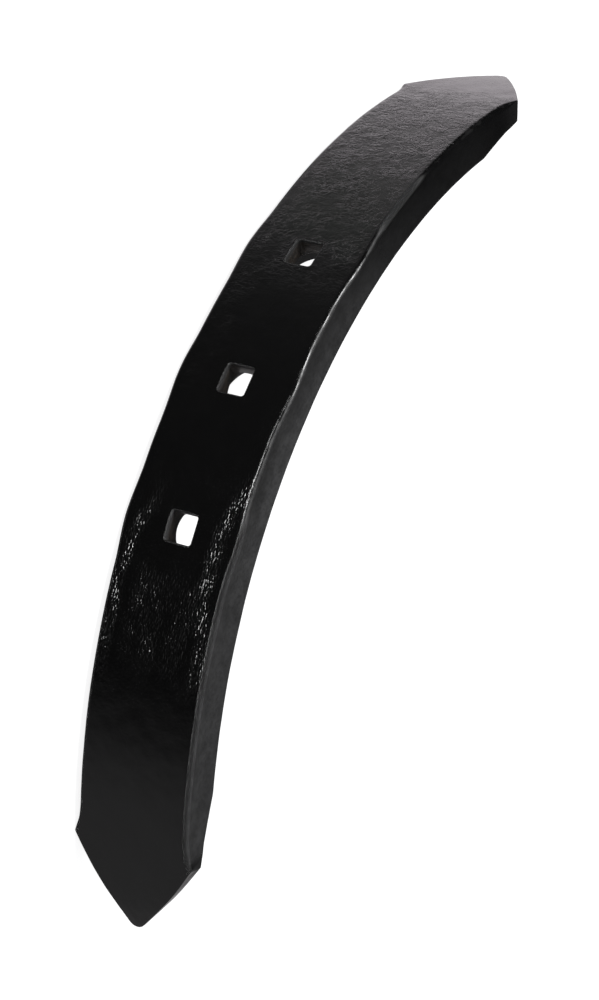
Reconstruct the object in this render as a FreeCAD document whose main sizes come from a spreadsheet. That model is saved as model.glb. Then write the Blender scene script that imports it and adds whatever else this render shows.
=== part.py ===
import FreeCAD, Part
import Sketcher
import math
import os

# Seed drill coulter: one forged bar, bent to an arc, pointed and thinned at both ends,
# with square bolt holes seated for countersunk heads on the hollow side.
#
# Body frame while it is drawn: the Z axis is the axis of the bend, the middle of the bar
# lies below it on -Y, the rounded-out face looks away from the axis, the hollow face to it.
# At the end the part is set on its side edge, with the bar's width upright along Z.
# Arc lengths run along the rounded-out face from the middle of the bar, in mm.

SIZES = [
    ("bar_width", 50.8, "flat bar, across"),
    ("bar_thickness", 17.5, "flat bar, through"),
    ("bend_radius", 255.5, "radius of the rounded-out face"),
    ("hole_pitch", 60.0, "arc from hole to hole"),
    ("hole_side", 11.5, "side of the square hole"),
    ("hole_corner", 1.2, "corner radius of the square hole"),
    ("hole_lip", 0.7, "rolled lip of the hole on the rounded-out face"),
    ("seat_width", 26.5, "bolt head seat, across"),
    ("seat_angle", 90.0, "cone of the bolt head seat, degrees"),
    ("seat_recess", 3.3, "straight part above the seat cone"),
    ("spread_height", 1.1, "swelling of the sides beside a punched hole"),
    ("spread_reach", 20.0, "half length of that swelling"),
    ("thinned_inset", 7.5, "how much tighter the thinned hollow face is than the rounded-out one"),
    ("thinning_blend", 14.0, "blend of the hollow face where the thinning starts"),
    ("shoulder", 187.5, "arc to the shoulder of the point"),
    ("thinned_length", 26.5, "arc from the start of the thinning to the shoulder"),
    ("shoulder_flare", 2.0, "outward flare at the shoulder"),
    ("flare_length", 13.0, "length of the flare"),
    ("point_length", 39.6, "shoulder to the tip before it is rounded, square to the shoulder"),
    ("point_bow", 300.0, "radius of the bowed edges of the point"),
    ("tip_round", 4.0, "tip radius in plan"),
    ("end_clearance", 2.0, "how far past that tip the thinned face runs out"),
    ("end_thickness", 1.5, "thickness where it runs out"),
    ("edge_round", 2.0, "long edges of the rounded-out face"),
    ("edge_break", 1.2, "chamfer of the long edges on the hollow side"),
    ("point_edge_round", 0.8, "edges of the rounded-out face along the point and its shoulders"),
    ("stock", 20.0, "how far a cutting outline stands clear of the bar"),
    ("hole_overlap", 4.0, "how far the sides drawn for a hole go past halfway to the next"),
    ("point_overlap", 3.0, "how far past that place the sides drawn for a point begin"),
]

WORKED_OUT = [
    ("hollow_radius", "bend_radius - bar_thickness"),
    ("thinned_radius", "bend_radius - thinned_inset"),
    ("half_width", "bar_width / 2"),
    ("band_width", "bar_width + 2 * shoulder_flare"),
    ("cut_length", "2 * bend_radius + stock"),
    ("full_turn", "180 / pi / bend_radius"),
    ("thin_turn", "(shoulder - thinned_length) * full_turn"),
    ("shoulder_turn", "shoulder * full_turn"),
    ("end_turn", "shoulder_turn + asin((point_length + end_clearance) / bend_radius) / 1 deg"),
    ("hole_turn", "hole_pitch * full_turn"),
    ("last_turn", "2 * hole_turn"),
    ("end_x", "bend_radius * sin(end_turn)"),
    ("end_y", "bend_radius * cos(end_turn)"),
    ("run_out_x", "(bend_radius - end_thickness) * sin(end_turn)"),
    ("run_out_y", "(bend_radius - end_thickness) * cos(end_turn)"),
    ("thin_x", "hollow_radius * sin(thin_turn)"),
    ("thin_y", "hollow_radius * cos(thin_turn)"),
    ("flared", "half_width + shoulder_flare"),
    ("flare_radius", "(flare_length ^ 2 + shoulder_flare ^ 2) / (2 * shoulder_flare)"),
    ("flank", "sqrt(flared ^ 2 + point_length ^ 2)"),
    ("bow_depth", "sqrt(point_bow ^ 2 - flank ^ 2 / 4)"),
    ("bow_x", "point_length / 2 - bow_depth * flared / flank"),
    ("bow_y", "flared / 2 - bow_depth * point_length / flank"),
    ("tip_ratio", "point_bow / (point_bow - tip_round)"),
    ("tip_touch", "bow_x + tip_ratio * sqrt((point_bow - tip_round) ^ 2 - bow_y ^ 2)"),
    ("tip_touch_side", "bow_y - tip_ratio * bow_y"),
    ("sector_reach", "bend_radius * sin(hole_turn / 2) + hole_overlap"),
    ("back_turn", "3 * hole_turn / 2 + point_overlap * full_turn"),
    ("back_reach", "bend_radius * sin(shoulder_turn - back_turn)"),
    ("far_side", "flared + stock"),
    ("far_end", "point_length + stock"),
    ("spread_mid", "spread_reach / 2"),
    ("spread_side", "half_width + spread_height / 2"),
    ("spread_radius", "(spread_mid ^ 2 + (spread_height / 2) ^ 2) / spread_height"),
    ("hole_half", "hole_side / 2"),
    ("hole_flat", "hole_side / 2 - hole_corner"),
    ("seat_half", "seat_width / 2"),
    ("cone_base", "hollow_radius + seat_recess"),
    ("cone_tip", "cone_base + seat_half / tan(seat_angle / 2)"),
    ("seat_open", "hollow_radius - stock"),
]

doc = FreeCAD.newDocument("Coulter")
sheet = doc.addObject("Spreadsheet::Sheet", "Sizes")
for row, (name, value, note) in enumerate(SIZES, start=1):
    sheet.set("A%d" % row, name)
    sheet.set("B%d" % row, str(value))
    sheet.set("C%d" % row, note)
    sheet.setAlias("B%d" % row, name)
for row, (name, formula) in enumerate(WORKED_OUT, start=len(SIZES) + 2):
    sheet.set("A%d" % row, name)
    sheet.setAlias("B%d" % row, name)
    sheet.set("B%d" % row, "=" + formula)
doc.recompute()

body = doc.addObject("PartDesign::Body", "coulter")
body.Label = "coulter"
ORIGIN = {feature.Role: feature for feature in body.Origin.OriginFeatures}
Y_DIR = FreeCAD.Vector(0, 1, 0)
Z_DIR = FreeCAD.Vector(0, 0, 1)
NEAR = 0.5
PARALLEL = 0.999


def size(name):
    """Value of a row of the sheet."""
    return float(sheet.get(name))


def signed(term):
    """Value of a term such as "-half_width"; "0" is the axis itself."""
    if term == "0":
        return 0.0
    if term.startswith("-"):
        return -size(term[1:])
    return size(term)


def new_sketch(name, plane, turn_axis=None, turn=None):
    """Sketch on an origin plane, turned about the bend axis by a row of the sheet."""
    sketch = body.newObject("Sketcher::SketchObject", name)
    sketch.AttachmentSupport = [(ORIGIN[plane], "")]
    sketch.MapMode = "FlatFace"
    if turn is not None:
        start = FreeCAD.Rotation(turn_axis, signed(turn))
        sketch.AttachmentOffset = FreeCAD.Placement(FreeCAD.Vector(), start)
        row = "-Sizes." + turn[1:] if turn.startswith("-") else "Sizes." + turn
        sketch.setExpression("AttachmentOffset.Rotation.Angle", row)
    return sketch


def bind(sketch, kind, refs, value, row):
    """Driving dimension of a sketch, tied to a row of the sheet."""
    index = sketch.addConstraint(Sketcher.Constraint(kind, *refs, value))
    sketch.setExpression("Constraints[%d]" % index, "Sizes." + row)


def fix_point(sketch, geometry, end, terms):
    """Ties both coordinates of a sketch point to rows of the sheet."""
    for kind, axis, term in (("DistanceX", -2, terms[0]), ("DistanceY", -1, terms[1])):
        if term == "0":
            sketch.addConstraint(Sketcher.Constraint("PointOnObject", geometry, end, axis))
        elif term.startswith("-"):
            bind(sketch, kind, (geometry, end, -1, 1), size(term[1:]), term[1:])
        else:
            bind(sketch, kind, (-1, 1, geometry, end), size(term), term)


def closed_run(sketch, run):
    """Closed outline from corners and edges.

    A corner is a pair of terms. An edge is None for a line, or (radius row, turn) for an
    arc, where turn is 1 for an arc that curves to the left on its way and -1 to the right.
    """
    corners = run[0::2]
    edges = run[1::2]
    places = [FreeCAD.Vector(signed(x), signed(y), 0) for x, y in corners]
    added = []
    for i, edge in enumerate(edges):
        a = places[i]
        b = places[(i + 1) % len(places)]
        if edge is None:
            index = sketch.addGeometry(Part.LineSegment(a, b), False)
            added.append((index, 1, 2))
            continue
        row, turn = edge
        radius = size(row)
        chord = b - a
        left = FreeCAD.Vector(-chord.y, chord.x, 0).normalize() * turn
        centre = (a + b) * 0.5 + left * math.sqrt(max(radius ** 2 - chord.Length ** 2 / 4, 0.0))
        first, last = (a, b) if turn > 0 else (b, a)
        low = math.atan2(first.y - centre.y, first.x - centre.x)
        high = math.atan2(last.y - centre.y, last.x - centre.x)
        if high < low:
            high += 2 * math.pi
        circle = Part.Circle(centre, Z_DIR, radius)
        index = sketch.addGeometry(Part.ArcOfCircle(circle, low, high), False)
        added.append((index, 1, 2) if turn > 0 else (index, 2, 1))
    for i, (index, first, last) in enumerate(added):
        following = added[(i + 1) % len(added)]
        sketch.addConstraint(Sketcher.Constraint("Coincident", index, last, following[0], following[1]))
        fix_point(sketch, index, first, corners[i])
        if edges[i] is not None:
            bind(sketch, "Radius", (index,), size(edges[i][0]), edges[i][0])


def through_cut(name, sketch):
    """Pocket square to the sketch, both ways from the bend axis, so out through the bar."""
    cut = body.newObject("PartDesign::Pocket", name)
    cut.Profile = sketch
    cut.Type = "Length"
    cut.SideType = "Symmetric"
    cut.setExpression("Length", "Sizes.cut_length")
    return cut


# Bent bar with its thinned ends, as one profile across the bend axis

profile = new_sketch("SideProfile", "XY_Plane")
closed_run(profile, [
    ("-end_x", "-end_y"), ("bend_radius", 1),
    ("end_x", "-end_y"), None,
    ("run_out_x", "-run_out_y"), ("thinned_radius", -1),
    ("thin_x", "-thin_y"), ("hollow_radius", -1),
    ("-thin_x", "-thin_y"), ("thinned_radius", -1),
    ("-run_out_x", "-run_out_y"), None,
])
band = body.newObject("PartDesign::Pad", "BentBar")
band.Profile = profile
band.SideType = "Symmetric"
band.setExpression("Length", "Sizes.band_width")
doc.recompute()

# Point: what lies outside its outline is cut off square to the bar at the shoulder

point = new_sketch("PointOutline", "XZ_Plane", Y_DIR, "shoulder_turn")
closed_run(point, [
    ("-back_reach", "half_width"), None,
    ("-flare_length", "half_width"), ("flare_radius", 1),
    ("0", "flared"), ("point_bow", -1),
    ("tip_touch", "tip_touch_side"), ("tip_round", -1),
    ("tip_touch", "-tip_touch_side"), ("point_bow", -1),
    ("0", "-flared"), ("flare_radius", 1),
    ("-flare_length", "-half_width"), None,
    ("-back_reach", "-half_width"), None,
    ("-back_reach", "-far_side"), None,
    ("far_end", "-far_side"), None,
    ("far_end", "far_side"), None,
    ("-back_reach", "far_side"), None,
])
point_cut = through_cut("PointCut", point)
doc.recompute()
other_point = body.newObject("PartDesign::Mirrored", "OtherPoint")
other_point.Originals = [point_cut]
other_point.MirrorPlane = (ORIGIN["YZ_Plane"], [""])
body.Tip = other_point
doc.recompute()

# Sides beside one hole, with the swelling the punch leaves; repeated at every hole

side = new_sketch("SideOutline", "XZ_Plane", Y_DIR, "-hole_turn")
for sign in ("", "-"):
    bend = 1 if sign == "" else -1
    closed_run(side, [
        ("-sector_reach", sign + "half_width"), None,
        ("-spread_reach", sign + "half_width"), ("spread_radius", bend),
        ("-spread_mid", sign + "spread_side"), ("spread_radius", -bend),
        ("spread_mid", sign + "spread_side"), ("spread_radius", bend),
        ("spread_reach", sign + "half_width"), None,
        ("sector_reach", sign + "half_width"), None,
        ("sector_reach", sign + "far_side"), None,
        ("-sector_reach", sign + "far_side"), None,
    ])
side_cut = through_cut("SideCut", side)
doc.recompute()

# Square hole, punched square to the bar

hole = new_sketch("HoleOutline", "XZ_Plane", Y_DIR, "-hole_turn")
closed_run(hole, [
    ("-hole_flat", "-hole_half"), None,
    ("hole_flat", "-hole_half"), ("hole_corner", 1),
    ("hole_half", "-hole_flat"), None,
    ("hole_half", "hole_flat"), ("hole_corner", 1),
    ("hole_flat", "hole_half"), None,
    ("-hole_flat", "hole_half"), ("hole_corner", 1),
    ("-hole_half", "hole_flat"), None,
    ("-hole_half", "-hole_flat"), ("hole_corner", 1),
])
hole_cut = through_cut("SquareHole", hole)
doc.recompute()

# Seat of the bolt head: a cone with a short straight recess, sunk from the hollow face

seat = new_sketch("SeatSection", "XY_Plane", Z_DIR, "-hole_turn")
closed_run(seat, [
    ("0", "-cone_tip"), None,
    ("seat_half", "-cone_base"), None,
    ("seat_half", "-seat_open"), None,
    ("0", "-seat_open"), None,
])
seat_cut = body.newObject("PartDesign::Groove", "BoltHeadSeat")
seat_cut.Profile = seat
seat_cut.ReferenceAxis = (seat, ["V_Axis"])
seat_cut.Angle = 360
doc.recompute()

holes = body.newObject("PartDesign::PolarPattern", "HoleRow")
holes.Originals = [side_cut, hole_cut, seat_cut]
holes.Axis = (ORIGIN["Z_Axis"], [""])
holes.setExpression("Angle", "Sizes.last_turn")
holes.Occurrences = 3
body.Tip = holes
doc.recompute()


def is_bar_face(face):
    """True for the rounded-out face, the hollow face and its thinned ends."""
    surface = face.Surface
    return isinstance(surface, Part.Cylinder) and abs(surface.Axis.z) > PARALLEL


def is_outer(face):
    """True for the rounded-out face."""
    return is_bar_face(face) and abs(face.Surface.Radius - size("bend_radius")) < NEAR


def is_side(face):
    """True for a side of the bar, its swellings and flares included."""
    return not is_bar_face(face) and abs(face.CenterOfMass.z) > size("half_width") - NEAR


def arc_of(place):
    """Arc from the middle of the bar to a place, along the rounded-out face."""
    return math.atan2(place.x, -place.y) * size("bend_radius")


def edges_between(shape, test):
    """Names of the edges whose two faces pass the test, for a fillet or a chamfer."""
    names = []
    for number, edge in enumerate(shape.Edges, start=1):
        faces = shape.ancestorsOfType(edge, Part.Face)
        if len(faces) == 2 and (test(edge, *faces) or test(edge, *reversed(faces))):
            names.append("Edge%d" % number)
    return names


def dressed(kind, name, base, measure, row, test):
    """Fillet or chamfer of the edges that pass the test."""
    feature = body.newObject("PartDesign::" + kind, name)
    feature.Base = (base, edges_between(base.Shape, test))
    feature.setExpression(measure, "Sizes." + row)
    body.Tip = feature
    doc.recompute()
    return feature


def across_thinning(edge, one, other):
    """Edge across the hollow face where the thinning starts."""
    return is_bar_face(one) and is_bar_face(other) and abs(edge.CenterOfMass.z) < NEAR


def along_outer(edge, one, other):
    """Long edge between the rounded-out face and a side."""
    return is_outer(one) and is_side(other)


def along_hollow(edge, one, other):
    """Long edge between the hollow face and a side, up to the shoulder."""
    hollow = is_bar_face(one) and not is_outer(one)
    return hollow and is_side(other) and abs(arc_of(edge.CenterOfMass)) < size("shoulder")


def along_point(edge, one, other):
    """Edge between the rounded-out face and a cut face of a point."""
    return is_outer(one) and abs(arc_of(other.CenterOfMass)) > size("shoulder") + NEAR


def hole_rim(edge, one, other):
    """Edge of a square hole on the rounded-out face."""
    wall = not is_bar_face(other) and abs(other.CenterOfMass.z) < size("hole_side")
    row_end = size("hole_pitch") + size("hole_side")
    return is_outer(one) and wall and abs(arc_of(other.CenterOfMass)) < row_end


blend = dressed("Fillet", "ThinningBlend", holes, "Radius", "thinning_blend", across_thinning)
outer = dressed("Fillet", "OuterEdges", blend, "Radius", "edge_round", along_outer)
hollow = dressed("Chamfer", "HollowEdges", outer, "Size", "edge_break", along_hollow)
points = dressed("Fillet", "PointEdges", hollow, "Radius", "point_edge_round", along_point)
lips = dressed("Fillet", "HoleLips", points, "Radius", "hole_lip", hole_rim)

# Checks of the model before it is written

for item in doc.Objects:
    if "Invalid" in item.State or "Error" in item.State:
        raise RuntimeError("%s could not be made: %s" % (item.Name, item.State))
for sketch in (profile, point, side, hole, seat):
    if not sketch.FullyConstrained:
        raise RuntimeError("%s is not fully held by its sizes" % sketch.Name)
shape = body.Shape
if shape.isNull() or not shape.isValid() or len(shape.Solids) != 1:
    raise RuntimeError("the coulter is not one sound solid")

# The part lies on its side edge, its middle over the origin

box = shape.optimalBoundingBox(False, False)
body.Placement = FreeCAD.Placement(
    FreeCAD.Vector(-box.Center.x, -box.Center.y, -box.ZMin), FreeCAD.Rotation())
doc.recompute()

placed = body.Shape.optimalBoundingBox(False, False)
print("volume %.0f mm3" % body.Shape.Volume)
print("box x %.2f %.2f  y %.2f %.2f  z %.2f %.2f" % (
    placed.XMin, placed.XMax, placed.YMin, placed.YMax, placed.ZMin, placed.ZMax))
os.makedirs("parts", exist_ok=True)
body.Shape.exportStep("parts/coulter.step")
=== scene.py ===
"""Looks of a seed drill coulter: a bent, forged bar with a point at each end, in gloss black paint."""
import logging
import math
from dataclasses import dataclass
from enum import Enum
from typing import Any, Sequence

import bmesh
import bpy
import numpy as np
from mathutils import Matrix, Vector


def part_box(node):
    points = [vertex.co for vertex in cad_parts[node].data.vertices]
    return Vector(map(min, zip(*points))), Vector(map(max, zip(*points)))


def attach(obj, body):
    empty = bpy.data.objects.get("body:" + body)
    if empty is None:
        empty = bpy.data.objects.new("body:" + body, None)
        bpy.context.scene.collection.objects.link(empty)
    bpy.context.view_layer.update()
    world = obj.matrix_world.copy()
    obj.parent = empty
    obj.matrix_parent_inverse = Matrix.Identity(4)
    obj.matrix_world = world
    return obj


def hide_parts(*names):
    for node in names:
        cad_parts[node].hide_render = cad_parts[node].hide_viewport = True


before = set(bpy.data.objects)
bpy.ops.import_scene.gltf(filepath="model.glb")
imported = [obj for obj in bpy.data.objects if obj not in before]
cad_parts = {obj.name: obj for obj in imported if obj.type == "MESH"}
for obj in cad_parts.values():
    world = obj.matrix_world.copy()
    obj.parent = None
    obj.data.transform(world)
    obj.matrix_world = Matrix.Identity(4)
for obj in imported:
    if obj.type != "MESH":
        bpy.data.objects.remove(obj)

LOG = logging.getLogger("coulter")
MM = 0.001
Array = np.ndarray
Colour = tuple[float, float, float, float]


class Slot(Enum):
    """Material slots of the bar."""

    PAINT = "paint"


class Face(Enum):
    """The two broad faces of the bar."""

    ROUNDED_OUT = 0
    HOLLOW = 1


# Shapes in numbers


class Noise:
    """Gradient noise of three coordinates, the same on every run."""

    def __init__(self, seed: int) -> None:
        """Draws the shuffled lattice and its slopes.

        Args:
            seed: Number the shuffle starts from.
        """
        draw = np.random.default_rng(seed)
        self.order = np.tile(draw.permutation(256), 2)
        slopes = draw.normal(size=(256, 3))
        self.slopes = slopes / np.linalg.norm(slopes, axis=1, keepdims=True)

    def at(self, places: Array, reach: float) -> Array:
        """Noise between about -1 and 1 with bumps about one reach across.

        At each lattice corner the slope there is dotted with the way to the place, and the
        eight results are mixed with the weight 6t^5 - 15t^4 + 10t^3 along each coordinate.

        Args:
            places: Points, one to a row.
            reach: Distance from one lattice corner to the next.

        Returns:
            One value to a point.
        """
        scaled = places / reach + 37.5
        base = np.floor(scaled).astype(int)
        part = scaled - base
        fade = part ** 3 * (part * (part * 6 - 15) + 10)
        total = np.zeros(len(places))
        for corner in np.ndindex(2, 2, 2):
            step = np.array(corner)
            cell = (base + step) % 256
            key = self.order[self.order[self.order[cell[:, 0]] + cell[:, 1]] + cell[:, 2]]
            weight = np.prod(np.where(step == 1, fade, 1 - fade), axis=1)
            total += weight * np.einsum("ij,ij->i", self.slopes[key], part - step)
        return total * 1.6


def smooth_step(values: Array, low: float, high: float) -> Array:
    """Goes from 0 at low to 1 at high as 3t^2 - 2t^3."""
    t = np.clip((values - low) / (high - low), 0.0, 1.0)
    return t * t * (3 - 2 * t)


def runs(stops: Sequence[float], step: float) -> Array:
    """Numbers from the first stop to the last, through every stop.

    Args:
        stops: Numbers that rise.
        step: Largest distance from one number to the next.

    Returns:
        The numbers.
    """
    parts = [np.linspace(a, b, max(2, math.ceil((b - a) / step) + 1))[:-1]
             for a, b in zip(stops, stops[1:])]
    return np.append(np.concatenate(parts), stops[-1])


@dataclass(frozen=True)
class Bend:
    """Place of the bent bar, in mm.

    The plan of the bar is its rounded-out face laid flat: along is the arc from the middle,
    across is the distance from the middle line. Past the shoulder, along goes straight on in
    the plane that touches the face at the shoulder, because the points are cut square to it.
    """

    axis_y: float
    middle_z: float
    radius: float = 255.5
    thickness: float = 17.5
    shoulder: float = 187.5
    thinning_start: float = 161.0
    thinned_radius: float = 248.0
    run_out: float = 41.6
    end_thickness: float = 1.5
    thinning_blend: float = 0.35
    far_below: float = -9.0

    def hollow_reach(self, turn: Array) -> Array:
        """Distance of the hollow face from the bend axis at a turn from the middle.

        The plain part is radius - thickness. The thinned part is an arc through the start of
        the thinning and the run-out: with its centre C and the ray's direction d it lies at
        C.d + sqrt(r^2 - C.C + (C.d)^2). The larger of the two counts, with a short blend.

        Args:
            turn: Turns from the middle, in radians.

        Returns:
            One distance to a turn.
        """
        inner = self.radius - self.thickness
        start = self.thinning_start / self.radius
        stop = self.shoulder / self.radius + math.asin(self.run_out / self.radius)
        a = inner * np.array([math.sin(start), -math.cos(start)])
        b = (self.radius - self.end_thickness) * np.array([math.sin(stop), -math.cos(stop)])
        chord = b - a
        half = np.linalg.norm(chord) / 2
        left = np.array([-chord[1], chord[0]]) / (2 * half)
        centre = (a + b) / 2 + left * math.sqrt(self.thinned_radius ** 2 - half ** 2)
        ray = np.abs(turn)
        along = centre[0] * np.sin(ray) - centre[1] * np.cos(ray)
        thinned = along + np.sqrt(self.thinned_radius ** 2 - centre @ centre + along ** 2)
        rise = np.where(ray > start / 2, thinned - inner, self.far_below)
        blend = np.clip(0.5 + rise / (2 * self.thinning_blend), 0, 1)
        return inner + rise * blend + self.thinning_blend * blend * (1 - blend)

    def turn(self, along: Array, reach: Array) -> Array:
        """Turn about the bend axis of a place in the plan.

        Up to the shoulder it is arc over radius. Past it the sine of the further turn is the
        straight distance over the reach.

        Args:
            along: Place in the plan.
            reach: Distance from the bend axis.

        Returns:
            The turn, in radians.
        """
        past = np.abs(along) - self.shoulder
        beyond = np.arcsin(np.clip(past, 0, None) / reach)
        return np.sign(along) * (np.minimum(np.abs(along), self.shoulder) / self.radius + beyond)

    def solid_thickness(self, along: Array) -> Array:
        """Thickness of the bar, by three rounds of substitution.

        Args:
            along: Place in the plan.

        Returns:
            One thickness to a place.
        """
        reach = np.full(np.shape(along), self.radius - self.thickness)
        for _ in range(3):
            reach = self.hollow_reach(self.turn(along, reach))
        return self.radius - reach

    def place(self, along: Array, across: Array, depth: Array) -> Array:
        """Points in space: reach times the sine and cosine of the turn, and across upright.

        Args:
            along: Place in the plan, along the bar.
            across: Place in the plan, across the bar.
            depth: Depth below the rounded-out face.

        Returns:
            Points, with x, y and z on the last axis.
        """
        along, across, depth = np.broadcast_arrays(along, across, depth)
        reach = self.radius - depth
        turn = self.turn(along, reach)
        return np.stack([reach * np.sin(turn), self.axis_y - reach * np.cos(turn),
                         self.middle_z + across], axis=-1)

    def unroll(self, points: Array) -> tuple[Array, Array, Array]:
        """Along, across and depth of points, counted along the arc all the way."""
        x, y, z = points[..., 0], points[..., 1] - self.axis_y, points[..., 2] - self.middle_z
        return np.arctan2(x, -y) * self.radius, z, self.radius - np.hypot(x, y)


@dataclass(frozen=True)
class Outline:
    """Outline of the bar in the plan, in mm."""

    half_width: float = 25.4
    shoulder: float = Bend.shoulder
    flare: float = 2.0
    flare_length: float = 13.0
    corner_round: float = 1.0
    point_length: float = 39.6
    point_bow: float = 300.0
    tip_round: float = 4.0
    spread_height: float = 1.1
    spread_reach: float = 20.0
    hole_pitch: float = 60.0
    block: float = 16.5
    step: float = 0.9

    def width_at(self, along: Array) -> Array:
        """Half width up to the shoulder, with the swellings beside the holes and the flare.

        A raised cosine beside each hole stands for the steel the punch pushes out.

        Args:
            along: Place in the plan.

        Returns:
            One half width to a place.
        """
        away = np.abs(along)
        near = np.abs(away - self.hole_pitch
                      * np.round(np.minimum(away, self.hole_pitch) / self.hole_pitch))
        spread = np.where(near < self.spread_reach,
                          (1 + np.cos(math.pi * near / self.spread_reach)) / 2, 0)
        return self.half_width + self.spread_height * spread + self.flare_at(along)

    def flare_at(self, along: Array) -> Array:
        """Width the flare adds: the arc R - sqrt(R^2 - a^2) with a counted from its start.

        Args:
            along: Place in the plan.

        Returns:
            One width to a place.
        """
        radius = (self.flare_length ** 2 + self.flare ** 2) / (2 * self.flare)
        run = np.clip(np.abs(along) - self.shoulder + self.flare_length, 0, self.flare_length)
        return radius - np.sqrt(radius ** 2 - run ** 2)

    def held(self, along: Array, half: Array, share: Any) -> Array:
        """Half width at a share of the way to the hollow face, where swelling and flare die out."""
        extra = self.width_at(along) - self.half_width
        return np.minimum(half, self.half_width + extra * (1 - share))

    def side(self) -> tuple[Array, Array, Array]:
        """Stations along one side from tip to tip.

        The edge of the point is an arc of the radius B through the shoulder P and the sharp
        tip Q. Its centre is O = (P + Q) / 2 - n sqrt(B^2 - |PQ|^2 / 4) with n square to PQ.

        Returns:
            Along, half width, and the outward normals in the plan.
        """
        flared = self.half_width + self.flare
        flank = math.hypot(self.point_length, flared)
        depth = math.sqrt(self.point_bow ** 2 - flank ** 2 / 4)
        bow = np.array([self.shoulder + self.point_length / 2 - depth * flared / flank,
                        flared / 2 - depth * self.point_length / flank])
        radius = (self.flare_length ** 2 + self.flare ** 2) / (2 * self.flare)
        before = math.pi / 2 + math.asin(self.flare_length / radius)
        after = math.atan2(flared - bow[1], self.shoulder - bow[0])
        middle, half = (before + after) / 2, (before - after) / 2
        corner = np.array([self.shoulder, flared]) - self.corner_round / math.cos(half) * np.array(
            [math.cos(middle), math.sin(middle)])
        tip = np.array([bow[0] + math.sqrt((self.point_bow - self.tip_round) ** 2 - bow[1] ** 2), 0])
        at_tip = math.atan2(-bow[1], tip[0] - bow[0])
        begin = after - self.corner_round * math.tan(half) / self.point_bow
        bar = runs([0, self.block, self.hole_pitch - self.block, self.hole_pitch + self.block,
                    corner[0] + self.corner_round * math.cos(before)], self.step)[:-1]
        slope = (self.width_at(bar + 0.01) - self.width_at(bar - 0.01)) / 0.02
        bar_normal = np.stack([-slope, np.ones_like(slope)], 1) / np.hypot(1, slope)[:, None]
        bend = np.linspace(before, after, 6)
        slant = runs([begin, at_tip][::-1], self.step / self.point_bow)[-1:0:-1]
        nose = np.linspace(at_tip, 0, 10)

        def circle(centre: Array, reach: float, turns: Array) -> Array:
            """Points of a circle at the turns."""
            return centre + reach * np.stack([np.cos(turns), np.sin(turns)], 1)

        turns = np.concatenate([bend, slant, nose])
        normals = np.vstack([bar_normal, np.stack([np.cos(turns), np.sin(turns)], 1)])
        points = np.vstack([
            np.stack([bar, self.width_at(bar)], 1), circle(corner, self.corner_round, bend),
            circle(bow, self.point_bow, slant), circle(tip, self.tip_round, nose)])
        points[-1, 1] = 0
        mirror = np.array([-1, 1])
        points = np.vstack([points[:0:-1] * mirror, points])
        normals = np.vstack([normals[:0:-1] * mirror, normals])
        return points[:, 0], points[:, 1], normals


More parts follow.
